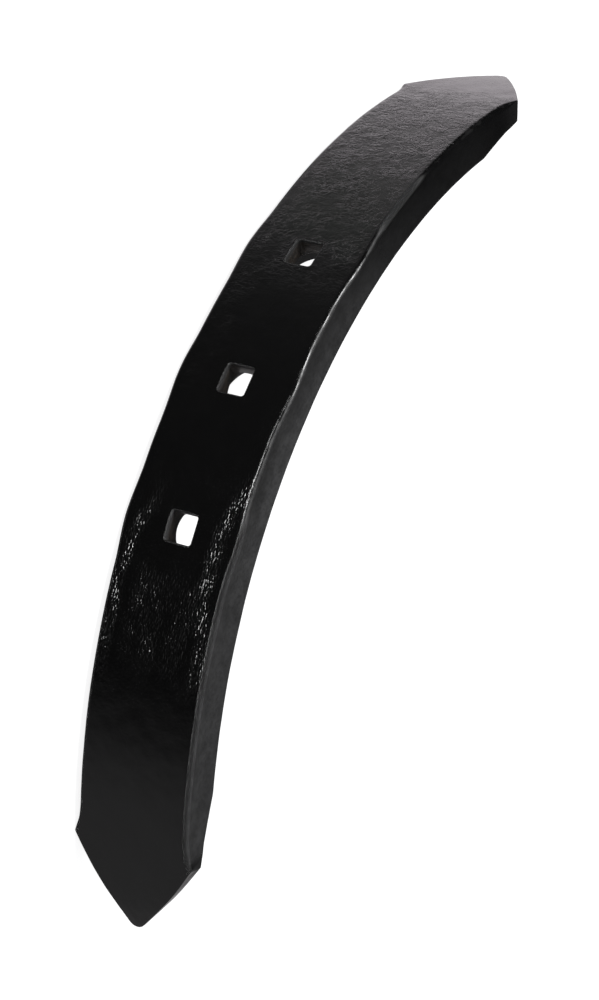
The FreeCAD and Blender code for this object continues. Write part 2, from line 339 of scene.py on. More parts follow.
@dataclass(frozen=True)
class BoltHole:
    """Square hole with a seat for a countersunk bolt head, in mm."""

    centre: float
    side: float = 11.5
    corner: float = 1.2
    lip: float = 0.7
    seat_width: float = 26.5
    seat_recess: float = 3.3
    seat_edge: float = 0.25

    def local(self, bend: Bend, points: Array) -> tuple[Array, Array, Array]:
        """Points seen from the hole, whose axis runs through the bend axis.

        Args:
            bend: Place of the bar.
            points: Points in space.

        Returns:
            Distances from the hole's axis along and across the bar, and reach from the bend axis.
        """
        turn = self.centre / bend.radius
        x, y = points[..., 0], points[..., 1] - bend.axis_y
        return (x * math.cos(turn) + y * math.sin(turn), points[..., 2] - bend.middle_z,
                x * math.sin(turn) - y * math.cos(turn))

    def world(self, bend: Bend, u: Array, v: Array, w: Array) -> Array:
        """Points in space from the distances that local gives.

        Args:
            bend: Place of the bar.
            u: Distance from the hole's axis along the bar.
            v: Distance from it across the bar.
            w: Reach from the bend axis along the hole's axis.

        Returns:
            Points, with x, y and z on the last axis.
        """
        turn = self.centre / bend.radius
        return np.stack([u * math.cos(turn) + w * math.sin(turn),
                         bend.axis_y + u * math.sin(turn) - w * math.cos(turn),
                         bend.middle_z + v], axis=-1)

    def wall_reach(self, angle: Array) -> Array:
        """Distance from the axis to the square's wall.

        On a flat it is half / cos(angle); on a corner of radius r about c it is
        c.d + sqrt(r^2 - c.c + (c.d)^2) with d the direction.

        Args:
            angle: Directions about the axis, in radians.

        Returns:
            One distance to a direction.
        """
        half, flat = self.side / 2, self.side / 2 - self.corner
        long = np.maximum(np.abs(np.cos(angle)), np.abs(np.sin(angle)))
        short = np.minimum(np.abs(np.cos(angle)), np.abs(np.sin(angle)))
        dot = flat * (long + short)
        bow = dot + np.sqrt(np.clip(self.corner ** 2 - 2 * flat ** 2 + dot ** 2, 0, None))
        return np.where(short / long <= flat / half, half / long, bow)

    def rings(self, bend: Bend, outer: Array, inner: Array) -> Array:
        """Closed rings from the rounded-out face through the hole to the hollow face.

        Rings run over the face to the lip, over its quarter round, down the square wall, down
        the cone, up the straight recess and out over the hollow face. Each lies at its own
        share of the way from one loop to the next.

        Args:
            bend: Place of the bar.
            outer: Loop of points on the rounded-out face about the hole.
            inner: Loop of as many points on the hollow face.

        Returns:
            Rings by points by three, the first and last being the loops given.
        """
        u, v, _ = self.local(bend, outer)
        u_in, v_in, _ = self.local(bend, inner)
        angle = np.arctan2(v, u)
        way = np.stack([np.cos(angle), np.sin(angle)])
        wall = self.wall_reach(angle)
        seat = self.seat_width / 2
        tip = bend.radius - bend.thickness + self.seat_recess + seat
        rows = [outer]

        def on_arc(reach: float, plan: Array) -> Array:
            """Height at which an arc about the bend axis lies over the plan."""
            return np.sqrt(reach ** 2 - plan ** 2)

        for t in (0.16, 0.32, 0.47, 0.6, 0.71, 0.8, 0.87, 0.92, 0.96, 1.0):
            spot = (1 - t) * np.stack([u, v]) + t * (wall + self.lip) * way
            rows.append(self.world(bend, spot[0], spot[1], on_arc(bend.radius, spot[0])))
        for a in np.radians([22.5, 45, 67.5, 90]):
            spot = (wall + self.lip * (1 - math.sin(a))) * way
            rows.append(self.world(bend, spot[0], spot[1], on_arc(bend.radius, spot[0])
                                   - self.lip * (1 - math.cos(a))))
        spot = wall * way
        top = on_arc(bend.radius, spot[0]) - self.lip
        for t in np.linspace(0, 1, 9)[1:]:
            rows.append(self.world(bend, spot[0], spot[1], top + (tip - wall - top) * t))
        for t in np.linspace(0, 1, 11)[1:]:
            reach = wall + (seat - wall) * t
            spot = reach * way
            rows.append(self.world(bend, spot[0], spot[1], tip - reach))
        spot = seat * way
        floor = on_arc(bend.radius - bend.thickness, spot[0])
        for t in (0.35, 0.7):
            rows.append(self.world(bend, spot[0], spot[1], tip - seat + (floor - tip + seat) * t))
        for t in (0.0, 0.1, 0.3, 0.6):
            plan = (1 - t) * (seat + self.seat_edge) * way + t * np.stack([u_in, v_in])
            rows.append(self.world(bend, plan[0], plan[1],
                                   on_arc(bend.radius - bend.thickness, plan[0])))
        rows.append(inner)
        return np.stack(rows)


class Shell:
    """Patches of quads that are joined to one closed skin."""

    def __init__(self) -> None:
        """Starts with no patch."""
        self.points: list[Array] = []
        self.quads: list[Array] = []
        self.count = 0

    def add(self, patch: Array, closed: bool = False, keep: Array | None = None) -> None:
        """Adds a grid of points and the quads between its neighbours.

        Args:
            patch: Rows by columns by three.
            closed: True where the last column meets the first.
            keep: Rows - 1 by columns - 1 of True where a quad is wanted.
        """
        rows, columns = patch.shape[:2]
        index = np.arange(rows * columns).reshape(rows, columns) + self.count
        if closed:
            index = np.hstack([index, index[:, :1]])
        quads = np.stack([index[:-1, :-1], index[:-1, 1:], index[1:, 1:], index[1:, :-1]], -1)
        self.quads.append(quads[keep] if keep is not None else quads.reshape(-1, 4))
        self.points.append(patch.reshape(-1, 3))
        self.count += rows * columns

    def mesh(self, name: str, near: float) -> bpy.types.Mesh:
        """One mesh in metres, its doubles merged and its faces pointing outwards.

        Args:
            name: Name of the mesh.
            near: Distance in metres below which two points are one.

        Returns:
            The finished mesh.
        """
        mesh = bpy.data.meshes.new(name)
        mesh.from_pydata(np.vstack(self.points) * MM, [], np.vstack(self.quads).tolist())
        work = bmesh.new()
        work.from_mesh(mesh)
        bmesh.ops.remove_doubles(work, verts=work.verts, dist=near)
        bmesh.ops.dissolve_degenerate(work, edges=work.edges, dist=near)
        loose = [v for v in work.verts if not v.link_faces]
        bmesh.ops.delete(work, geom=loose, context="VERTS")
        bmesh.ops.recalc_face_normals(work, faces=work.faces)
        open_edges = sum(1 for e in work.edges if len(e.link_faces) != 2)
        work.to_mesh(mesh)
        work.free()
        LOG.info("%s: %d faces, %d open edges", name, len(mesh.polygons), open_edges)
        return mesh


def read_rows(items: Any, name: str) -> Array:
    """Reads three numbers of each item of a mesh.

    Args:
        items: The mesh's points or its normals.
        name: Name of the numbers.

    Returns:
        One item to a row.
    """
    flat = np.empty(len(items) * 3, np.float32)
    items.foreach_get(name, flat)
    return flat.reshape(-1, 3).astype(float)


def write_mask(mesh: bpy.types.Mesh, name: str, values: Array) -> None:
    """Stores one number to a point of a mesh under a name."""
    mask = mesh.attributes.new(name, "FLOAT", "POINT")
    mask.data.foreach_set("value", values.astype(np.float32))


@dataclass
class CoulterBar:
    """The forged bar as one closed skin, with the unevenness of forging, in mm.

    The long edges get crisper over the shear stretch before a shoulder. The finish is told
    where it changes: the paint ends in a hole at one depth and steel is bare from another, a
    hole's lip and the rim have a reach each, and the side leans between two parts of its normal.
    """

    bend: Bend
    outline: Outline = Outline()
    edge_round: float = 2.0
    hollow_round: float = 1.4
    point_edge_round: float = 0.8
    shear_start: float = 7.0
    shear_full: float = 1.0
    columns: int = 46
    edge_steps: int = 6
    wall_steps: int = 11
    forging: float = 0.16
    forging_peak: float = 0.35
    bumps: tuple[tuple[float, float, float], ...] = (
        (0.0, 26.0, 0.5), (400.0, 9.0, 0.3), (900.0, 3.6, 0.12))
    wear: float = 2.4
    wear_sideways: float = 0.25
    wear_start: float = 12.0
    wear_full: float = 40.0
    wall_margin: float = 0.15
    paint_end: float = 0.5
    bare_start: float = 3.2
    lip_reach: float = 4.0
    rim_reach: float = 2.2
    side_gap: float = 0.5
    side_fade: float = 4.0
    side_lean: tuple[float, float] = (0.55, 0.9)
    near: float = 0.002
    crease_degrees: float = 38.0

    def holes(self) -> list[BoltHole]:
        """The bolt holes from one end of the row to the other."""
        pitch = self.outline.hole_pitch
        return [BoltHole(-pitch), BoltHole(0.0), BoltHole(pitch)]

    def edge_radius(self, along: Array, face: Face) -> Array:
        """Radius of the long edges, which gets crisper where the point was sheared.

        Args:
            along: Place in the plan.
            face: The broad face that the edge belongs to.

        Returns:
            One radius to a place.
        """
        before = self.bend.shoulder - np.abs(along)
        fade = smooth_step(before, self.shear_start, self.shear_full)
        start = self.edge_round if face is Face.ROUNDED_OUT else self.hollow_round
        return start + (self.point_edge_round - start) * fade

    def face_grid(self, face: Face) -> Array:
        """Grid over a broad face, inside its edge rounding, in the plan and with its depth.

        Each row runs straight across the bar. At a tip the row has shrunk to a point.

        Args:
            face: The broad face.

        Returns:
            Rows by columns by three.
        """
        along, half, normals = self.outline.side()
        radius = self.edge_radius(along, face)
        row = along - radius * normals[:, 0]
        reach = self.outline.held(along, half, face.value) - radius * normals[:, 1]
        reach[[0, -1]] = 0
        share = self.shares()
        depth = np.zeros_like(row) if face is Face.ROUNDED_OUT else self.bend.solid_thickness(row)
        return self.bend.place(row[:, None], reach[:, None] * share, depth[:, None])

    def block_share(self) -> float:
        """Share of the half width at which the block of quads about a hole ends."""
        return self.outline.block / (self.outline.half_width - self.edge_round)

    def shares(self) -> Array:
        """Columns across a broad face, with one on each side of a hole's block.

        Returns:
            Shares of the half width from -1 to 1.
        """
        half = runs([0, self.block_share(), 1], 2 / self.columns)
        return np.concatenate([-half[:0:-1], half])

    def rim(self) -> Array:
        """Rings round the whole outline, from one broad face over the side to the other.

        Over the rounding the inset is r (1 - sin a) and the depth r (1 - cos a), with a from
        0 at the face to a right angle at the side.

        Returns:
            Rings by points by three.
        """
        along, half, normals = self.outline.side()
        along = np.concatenate([along, along[-2:0:-1]])
        across = np.concatenate([half, -half[-2:0:-1]])
        ways = np.vstack([normals, normals[-2:0:-1] * [1, -1]])
        turns = np.linspace(0, math.pi / 2, self.edge_steps + 1)
        mirror = np.sign(across)

        def ring(inset: Array, share: float, depth: Array) -> Array:
            """Ring at an inset, a share of the way to the hollow face and a depth."""
            side = mirror * self.outline.held(along, np.abs(across), share)
            return self.bend.place(along - inset * ways[:, 0], side - inset * ways[:, 1], depth)

        outer = self.edge_radius(along, Face.ROUNDED_OUT)
        inner = self.edge_radius(along, Face.HOLLOW)
        thickness = self.bend.solid_thickness(along)
        rows = [ring(outer * (1 - math.sin(a)), 0.0, outer * (1 - math.cos(a))) for a in turns]
        for t in np.linspace(0, 1, self.wall_steps + 1)[1:-1]:
            rows.append(ring(0 * outer, t, outer + (thickness - outer - inner) * t))
        for a in turns[::-1]:
            inset = inner * (1 - math.sin(a))
            local = self.bend.solid_thickness(along - inset * ways[:, 0])
            rows.append(ring(inset, 1.0, local - inner * (1 - math.cos(a))))
        return np.stack(rows)

    def skin(self) -> Shell:
        """The patches of the bar: two broad faces, the rim round them, and the holes.

        The block of quads about each hole is left out of both faces, and the hole's rings take
        its place.

        Returns:
            The patches, which meet point to point.
        """
        shell = Shell()
        outer, inner = self.face_grid(Face.ROUNDED_OUT), self.face_grid(Face.HOLLOW)
        along = self.outline.side()[0]
        share = self.shares()
        edge = self.block_share()
        left, right = np.argmin(np.abs(share + edge)), np.argmin(np.abs(share - edge))
        keep = np.ones((len(along) - 1, len(share) - 1), bool)
        for hole in self.holes():
            low = np.argmin(np.abs(along - hole.centre + self.outline.block))
            high = np.argmin(np.abs(along - hole.centre - self.outline.block))
            keep[low:high, left:right] = False
            rows = np.concatenate([np.full(right - left, low), np.arange(low, high),
                                   np.full(right - left, high), np.arange(high, low, -1)])
            cells = np.concatenate([np.arange(left, right), np.full(high - low, right),
                                    np.arange(right, left, -1), np.full(high - low, left)])
            shell.add(hole.rings(self.bend, outer[rows, cells], inner[rows, cells]), closed=True)
        shell.add(outer, keep=keep)
        shell.add(inner, keep=keep)
        shell.add(self.rim(), closed=True)
        return shell

    def write_masks(self, mesh: bpy.types.Mesh, points: Array, normals: Array) -> None:
        """Stores where the finish changes: in and near the holes, on the rim and on the sides.

        Near a hole and on the rim the mask falls off as exp(-d / reach) and exp(-(d / reach)^2)
        with the distance d.

        Args:
            mesh: Mesh of the bar.
            points: Its points, in mm.
            normals: Its normals.
        """
        along, across, depth = self.bend.unroll(points)
        in_hole, near_hole = np.zeros(len(points)), np.zeros(len(points))
        for hole in self.holes():
            u, v, _ = hole.local(self.bend, points)
            beyond = np.hypot(u, v) - hole.wall_reach(np.arctan2(v, u))
            inside = (beyond < self.wall_margin) * smooth_step(depth, self.paint_end, self.bare_start)
            in_hole = np.maximum(in_hole, inside)
            near_hole = np.maximum(near_hole, np.exp(-np.clip(beyond, 0, None) / self.lip_reach))
        shoulder = self.bend.shoulder
        half = self.outline.width_at(np.clip(along, -shoulder, shoulder))
        rim_distance = np.hypot(np.clip(half - np.abs(across), 0, None), np.clip(depth, 0, None))
        side_end = shoulder - self.side_gap
        side = (smooth_step(np.abs(normals[:, 2]), *self.side_lean) * (1 - in_hole)
                * smooth_step(np.abs(along), side_end, side_end - self.side_fade))
        masks = {"in_hole": in_hole, "near_hole": near_hole, "side": side,
                 "rim": np.exp(-(rim_distance / self.rim_reach) ** 2),
                 "along": along * MM, "across": across * MM, "depth": depth * MM}
        for name, values in masks.items():
            write_mask(mesh, name, values)

    def build(self) -> bpy.types.Object:
        """The bar as an object of the scene.

        Returns:
            The object, with its masks for the finish.
        """
        mesh = self.skin().mesh("coulter_skin", self.near * MM)
        points = read_rows(mesh.vertices, "co") / MM
        normals = read_rows(mesh.vertex_normals, "vector")
        self.write_masks(mesh, points, normals)
        moved = points + normals * self.unevenness(points)[:, None] + self.wear_shift(points)
        mesh.vertices.foreach_set("co", (moved * MM).astype(np.float32).ravel())
        mesh.shade_smooth()
        mesh.set_sharp_from_angle(angle=math.radians(self.crease_degrees))
        mesh.update()
        bar = bpy.data.objects.new("coulter_bar", mesh)
        bpy.context.scene.collection.objects.link(bar)
        return bar

    def wear_shift(self, points: Array) -> Array:
        """Shift for the lower tip, which the soil has worn down and a little aside.

        Args:
            points: Points of the bar.

        Returns:
            One shift to a point.
        """
        past = self.bend.unroll(points)[0] - self.bend.shoulder
        share = smooth_step(past, self.wear_start, self.wear_full)
        turn = self.bend.shoulder / self.bend.radius
        way = np.array([-self.wear * math.cos(turn), -self.wear * math.sin(turn), self.wear_sideways])
        return share[:, None] * way

    def unevenness(self, points: Array) -> Array:
        """Height of the forged skin over the true shape, never above it.

        Three sizes of bumps are added up, each with its shift, reach and share. Their peak is
        taken off, so that the skin stays inside the solid's box.

        Args:
            points: Points of the bar.

        Returns:
            One height to a point, 0 or less.
        """
        noise = Noise(seed=11)
        height = sum(noise.at(points + shift, reach) * share for shift, reach, share in self.bumps)
        return np.minimum((height - self.forging_peak) * self.forging, 0.0)


# Finishes


class Wire:
    """A socket that takes part in sums; each sum adds its Math node."""

    def __init__(self, graph: "Graph", socket: bpy.types.NodeSocket | None) -> None:
        """Wraps an output socket of a graph, or none where the node has no output."""
        self.graph = graph
        self.socket = socket

    def _math(self, operation: str, *terms: Any) -> "Wire":
        """Adds a Math node over the terms."""
        return self.graph.node("ShaderNodeMath", dict(enumerate(terms)), {"operation": operation})

    def __add__(self, other: Any) -> "Wire":
        """Sum."""
        return self._math("ADD", self, other)

    __radd__ = __add__

    def __sub__(self, other: Any) -> "Wire":
        """Difference."""
        return self._math("SUBTRACT", self, other)

    def __rsub__(self, other: Any) -> "Wire":
        """Difference, with this wire taken off."""
        return self._math("SUBTRACT", other, self)

    def __mul__(self, other: Any) -> "Wire":
        """Product."""
        return self._math("MULTIPLY", self, other)

    __rmul__ = __mul__

    def __truediv__(self, other: Any) -> "Wire":
        """Quotient."""
        return self._math("DIVIDE", self, other)

    def size(self) -> "Wire":
        """The number without its sign."""
        return self._math("ABSOLUTE", self)

    def at_least(self, other: Any) -> "Wire":
        """The larger of the two."""
        return self._math("MAXIMUM", self, other)

    def turn_from(self, other: "Wire") -> "Wire":
        """Turn of the direction (other, this), as a share of a full turn from 0 to 1."""
        return self._math("FRACT", self._math("ARCTAN2", self, other) / math.tau + 1)

    def ramp(self, low: float, high: float, to_low: float = 0.0, to_high: float = 1.0) -> "Wire":
        """Smooth change from to_low at low to to_high at high.

        Args:
            low: Value at which the change starts; it may be the larger of the two.
            high: Value at which it is full.
            to_low: Result before the change.
            to_high: Result after it.

        Returns:
            The result.
        """
        return self.graph.node(
            "ShaderNodeMapRange",
            {"Value": self, "From Min": low, "From Max": high, "To Min": to_low, "To Max": to_high},
            {"interpolation_type": "SMOOTHSTEP"})


class Graph:
    """Node tree of one material or of the world."""

    def __init__(self, owner: Any) -> None:
        """Empties the tree of a material or a world.

        Args:
            owner: The material or world.
        """
        owner.use_nodes = True
        self.tree = owner.node_tree
        self.tree.nodes.clear()

    def node(self, kind: str, inputs: dict[Any, Any] | None = None,
             settings: dict[str, Any] | None = None, output: Any = 0) -> Wire:
        """Adds a node.

        Args:
            kind: Type name of the node.
            inputs: Values or wires by socket name or number.
            settings: Properties to set before the sockets; "stops" are a ramp's stops.
            output: Name or number of the socket to return, None for a node without one.

        Returns:
            The wire of that output.
        """
        added = self.tree.nodes.new(kind)
        settings = dict(settings or {})
        stops = settings.pop("stops", [])
        for name, value in settings.items():
            setattr(added, name, value)
        for number, (place, colour) in enumerate(stops):
            line = added.color_ramp.elements
            stop = line[number] if number < 2 else line.new(place)
            stop.position, stop.color = place, colour
        for name, value in (inputs or {}).items():
            socket = added.inputs[name]
            if isinstance(value, Wire):
                self.tree.links.new(value.socket, socket)
            else:
                socket.default_value = value
        return Wire(self, None if output is None else added.outputs[output])

    def places(self) -> Wire:
        """Object coordinates, in metres."""
        return self.node("ShaderNodeTexCoord", output="Object")

    def mask(self, name: str) -> Wire:
        """A stored number of the mesh."""
        return self.node("ShaderNodeAttribute", settings={"attribute_name": name}, output="Fac")

    def ray_is(self, kind: str) -> Wire:
        """One for rays of a kind, such as Camera or Glossy, and 0 for the others."""
        return self.node("ShaderNodeLightPath", output=f"Is {kind} Ray")

    def noise(self, places: Wire, reach: float, detail: float = 2.0, rough: float = 0.5,
              twist: float = 0.0) -> Wire:
        """Noise from 0 to 1.

        Args:
            places: Where it is read.
            reach: Width of its bumps, in mm.
            detail: Number of finer layers.
            rough: Strength of each finer layer.
            twist: How far the pattern is bent out of shape.

        Returns:
            The noise.
        """
        return self.node("ShaderNodeTexNoise",
                         {"Vector": places, "Scale": 1 / (reach * MM), "Detail": detail,
                          "Roughness": rough, "Distortion": twist},
                         {"noise_dimensions": "3D"}, "Fac")

    def mix(self, share: Any, first: Any, second: Any) -> Wire:
        """Mix of two colours."""
        return self.node("ShaderNodeMix", {0: share, 6: first, 7: second},
                         {"data_type": "RGBA"}, 2)

    def parts(self, vector: Wire) -> list[Wire]:
        """The three numbers of a vector."""
        first = self.node("ShaderNodeSeparateXYZ", {0: vector})
        return [Wire(self, socket) for socket in first.socket.node.outputs]

    def stretched(self, scale: tuple[float, float, float]) -> Wire:
        """Along, across and depth of the bar as a place, each times its scale."""
        parts = [self.mask(name) * size for name, size in zip(("along", "across", "depth"), scale)]
        return self.node("ShaderNodeCombineXYZ", dict(enumerate(parts)))

    def surface(self, shader: Wire, kind: str = "ShaderNodeOutputMaterial") -> None:
        """Sends a shader to the surface output."""
        self.node(kind, {"Surface": shader}, output=None)


@dataclass(frozen=True)
class Fade:
    """Smooth change over a stretch of the bar, from its start to where it is full, in mm."""

    start: float
    full: float

    def of(self, place: Wire, low: float = 0.0, high: float = 1.0) -> Wire:
        """The change at a place in metres, from low to high."""
        return place.ramp(self.start * MM, self.full * MM, low, high)


@dataclass(frozen=True)
class RunBand:
    """Band beside one long edge in which the paint has run into ridges, in mm.

    The band follows a line across the bar, which is shifted at its upper and its lower end.
    The side is 1 for the upright side of the picture's right and -1 for the other.
    """

    side: int
    start: Fade
    line: float
    upper: Fade
    upper_shift: float
    lower: Fade
    lower_shift: float
    spread: Fade

    def strength(self, along: Wire, across: Wire) -> Wire:
        """How strong the ridges are, from 0 to 1.

        Args:
            along: Place along the bar, in metres.
            across: Place across it.

        Returns:
            The strength.
        """
        line = (self.line * MM + self.upper.of(along) * (self.upper_shift * MM)
                + self.lower.of(along) * (self.lower_shift * MM))
        return self.spread.of((across * self.side - line).size()) * self.start.of(along)


@dataclass(frozen=True)
class BlackDip:
    """Gloss black dip paint over forging scale.

    The sides are matte grey where the paint was wiped thin. In the holes bare steel shows. The
    paint has run into ridges in two bands on the lower half, and the upper end has the ripples
    of the hammer. Heights, widths and stretches are in mm.
    """

    name: str = "black_dip_paint"
    black: Colour = (0.0019, 0.0019, 0.0020, 1.0)
    scale_grey: Colour = (0.046, 0.046, 0.0465, 1.0)
    bare_steel: Colour = (0.022, 0.0155, 0.0095, 1.0)
    roughness: float = 0.15
    cloudiness: float = 0.04
    gloss_level: float = 1.0
    ridge_gloss: float = 0.04
    point_gloss: float = 0.02
    dull_rim: float = 0.8
    matte_side: float = 0.36
    matte_steel: float = 0.3

    ridge: float = 0.44
    ripple: float = 0.48
    dash: float = 0.20
    crease: float = 0.064
    crawl: float = 0.10
    pebble: float = 0.035
    sag: float = 0.35
    rust: float = 0.4

    right_run: RunBand = RunBand(side=1, start=Fade(26, 48), line=17.3, upper=Fade(62, 40),
                                 upper_shift=3.8, lower=Fade(80, 104), lower_shift=3.4,
                                 spread=Fade(6.0, 0.6))
    left_run: RunBand = RunBand(side=-1, start=Fade(36, 60), line=20.0, upper=Fade(70, 42),
                                upper_shift=-7.5, lower=Fade(70, 84), lower_shift=1.2,
                                spread=Fade(5.8, 0.6))
    middle_run: Fade = Fade(64, 84)
    middle_run_half: Fade = Fade(19, 13)
    middle_run_strength: float = 0.62
    run_end: Fade = Fade(136, 100)

    rippled: Fade = Fade(-85, -150)
    rippled_point: Fade = Fade(-194, -172)
    creased: Fade = Fade(-35, -62)
    creased_point: Fade = Fade(-200, -168)
    creased_left: Fade = Fade(30, -10)
    creased_left_half: Fade = Fade(-4, -15)
    sagged_lower: Fade = Fade(70, 120)
    sagged_upper: Fade = Fade(-120, -180)
    pebbled: Fade = Fade(150, 112)
    more_pebbled: Fade = Fade(30, 60)

    wiped: Fade = Fade(-120, -5)
    wiped_end: Fade = Fade(-170, -150)
    paler: Fade = Fade(-30, 15)
    paler_end: Fade = Fade(90, 40)
    shaded_depth: Fade = Fade(1, 15)
    shaded: Fade = Fade(85, 30)
    matte: Fade = Fade(-100, -30)
    glossy_point: Fade = Fade(120, 170)
    dull_upper: Fade = Fade(-118, -104)
    dull_upper_end: Fade = Fade(-70, -88)
    dull_lower: Fade = Fade(46, 62)

    def ridges(self, graph: Graph, along: Wire, across: Wire) -> Wire:
        """Where the paint has run into ridges: two bands and finer streaks between them.

        Args:
            graph: Graph of the material.
            along: Place along the bar, in metres.
            across: Place across it.

        Returns:
            Strength from 0 to 1.
        """
        clumps = graph.noise(graph.stretched((0.5, 1.0, 1.0)), 4.0).ramp(0.3, 0.62, 0.55, 1.0)
        streaks = graph.noise(graph.stretched((0.06, 1.0, 1.0)), 4.0, 1.0).ramp(0.36, 0.6, 0.55, 1.0)
        right = self.right_run.strength(along, across)
        left = self.left_run.strength(along, across)
        middle = (self.middle_run_half.of(across.size()) * self.middle_run.of(along) * streaks
                  * self.middle_run_strength)
        return right.at_least(left).at_least(middle) * self.run_end.of(along) * clumps

    def hammered(self, graph: Graph, along: Wire, across: Wire, patches: Wire, face: Wire) -> Wire:
        """Height of the ripples, dashes and creases that the hammer left at the upper end.

        Creases and dashes lie where a noise is near its middle value. The creases go on down
        the left side, at half strength.

        Args:
            graph: Graph of the material.
            along: Place along the bar, in metres.
            across: Place across it.
            patches: Strength that changes from patch to patch.
            face: One on the broad faces and 0 on the rim and the sides.

        Returns:
            The height, in mm.
        """
        wave = graph.noise(graph.stretched((1.0, 0.55, 1.0)), 4.4, 3.0, 0.55, 1.0)
        dash = graph.noise(graph.stretched((1.0, 0.55, 1.0)), 4.6, 2.0, 0.5, 1.0)
        skin = graph.noise(graph.stretched((1.0, 0.6, 1.0)), 2.3, 3.0, 0.6, 0.8)
        upper = self.rippled.of(along) * self.rippled_point.of(along, 0.12) * face
        left = self.creased_left_half.of(across) * self.creased_left.of(along) * 0.5
        creased = (self.creased_point.of(along, 0.15) * patches
                   * self.creased.of(along, 0.08).at_least(left) * face)
        return ((skin - 0.5).size().ramp(0.0, 0.075) * creased * self.crease
                + (wave - 0.5) * upper * (patches + 0.15) * self.ripple
                + (dash - 0.5).size().ramp(0.0, 0.04) * upper * patches * self.dash)

    def height(self, graph: Graph, spot: Wire, along: Wire, across: Wire, ridges: Wire) -> Wire:
        """Height of the paint over the steel.

        Args:
            graph: Graph of the material.
            spot: Object coordinates.
            along: Place along the bar, in metres.
            across: Place across it.
            ridges: Strength of the ridges.

        Returns:
            The height, in metres.
        """
        face = (1 - graph.mask("side")) * (1 - graph.mask("rim"))
        patches = graph.noise(spot, 10.0, 3.0, 0.6).ramp(0.36, 0.60, 0.35, 1.0)
        sagged = self.sagged_lower.of(along).at_least(self.sagged_upper.of(along) * 1.7) * face
        grain = self.pebbled.of(along, 0.12) * (1 + self.more_pebbled.of(along))
        run = graph.noise(graph.stretched((0.42, 1.0, 1.0)), 0.8, 1.0)
        total = ((graph.noise(spot, 1.2) - 0.5) * grain * self.pebble
                 + (graph.noise(spot, 5.5) - 0.5) * self.crawl
                 + (graph.noise(spot, 17.0, 1.0) - 0.5) * sagged * self.sag
                 + graph.noise(spot, 1.6, 3.0, 0.6) * graph.mask("in_hole") * self.rust
                 + self.hammered(graph, along, across, patches, face)
                 + (run - 0.5) * ridges * self.ridge)
        return total * MM

    def colour(self, graph: Graph, spot: Wire, along: Wire, bare: Wire) -> Wire:
        """Black, with grey scale on the sides and bare steel in the holes.

        Args:
            graph: Graph of the material.
            spot: Object coordinates.
            along: Place along the bar, in metres.
            bare: One in the holes and 0 elsewhere.

        Returns:
            The colour.
        """
        shade = self.shaded_depth.of(graph.mask("depth"), 0.62, 0.0) * self.shaded.of(along)
        blotch = (graph.noise(spot, 6.0, 4.0, 0.6).ramp(0.3, 0.7, 0.62, 1.12)
                  * graph.noise(spot, 1.3, 2.0, 0.6).ramp(0.28, 0.6, 0.66, 1.1))
        middle = 1 + self.paler.of(along, 0.0, 0.5) * self.paler_end.of(along)
        thin = self.wiped.of(along, 0.09, 0.68) * self.wiped_end.of(along)
        share = graph.mask("side") * thin * (1 - shade) * blotch * middle
        wiped = graph.mix(share, self.black, self.scale_grey)
        rubbed = bare * graph.noise(spot, 1.8, 3.0, 0.6).ramp(0.35, 0.62, 0.15, 1.0)
        return graph.mix(rubbed, wiped, self.bare_steel)

    def dullness(self, graph: Graph, along: Wire, bare: Wire) -> Wire:
        """Where the gloss is lost: on the lips of the holes and on parts of the long edges.

        Args:
            graph: Graph of the material.
            along: Place along the bar, in metres.
            bare: One in the holes and 0 elsewhere.

        Returns:
            Strength from 0 to 1.
        """
        rim = graph.mask("rim").ramp(0.35, 0.8)
        lip = graph.mask("near_hole").ramp(0.78, 0.9) * 0.6
        plain = (self.dull_upper.of(along) * self.dull_upper_end.of(along)
                 + self.dull_lower.of(along))
        chipped = graph.noise(graph.stretched((0.5, 1.0, 1.0)), 3.0).ramp(0.42, 0.58, 0.0, 0.225)
        return (rim * plain.at_least(chipped)).at_least(lip) * (1 - bare)

    def build(self) -> bpy.types.Material:
        """The material.

        Returns:
            A material that reads object coordinates and the masks of the bar.
        """
        material = bpy.data.materials.new(self.name)
        graph = Graph(material)
        spot = graph.places()
        along, across = graph.mask("along"), graph.mask("across")
        bare, side = graph.mask("in_hole"), graph.mask("side")
        ridges = self.ridges(graph, along, across)
        cloud = graph.noise(spot, 9.0, 3.0).ramp(0.3, 0.7, -self.cloudiness, self.cloudiness)
        gloss = ridges * self.ridge_gloss + self.glossy_point.of(along) * self.point_gloss
        dull = (self.dullness(graph, along, bare) * self.dull_rim
                + side * self.matte.of(along) * self.matte_side + bare * self.matte_steel)
        bump = graph.node("ShaderNodeBump", {
            "Strength": 1.0, "Distance": 1.0,
            "Height": self.height(graph, spot, along, across, ridges)})
        graph.surface(graph.node("ShaderNodeBsdfPrincipled", {
            "Base Color": self.colour(graph, spot, along, bare),
            "Roughness": self.roughness + cloud - gloss + dull,
            "Specular IOR Level": self.gloss_level,
            "Normal": bump}))
        return material


# Studio


@dataclass(frozen=True)
class Lamp:
    """A rectangular lamp aimed at a point, in metres and watts."""

    name: str
    place: tuple[float, float, float]
    target: tuple[float, float, float]
    size: tuple[float, float]
    power: float

    def build(self) -> bpy.types.Object:
        """The lamp.

        Returns:
            The lamp as an object of the scene.
        """
        data = bpy.data.lights.new(self.name, "AREA")
        data.shape = "RECTANGLE"
        data.size, data.size_y = self.size
        data.energy = self.power
        lamp = bpy.data.objects.new(self.name, data)
        lamp.location = self.place
        way = Vector(self.target) - Vector(self.place)
        lamp.rotation_euler = way.to_track_quat("-Z", "Y").to_euler()
        bpy.context.scene.collection.objects.link(lamp)
        return lamp


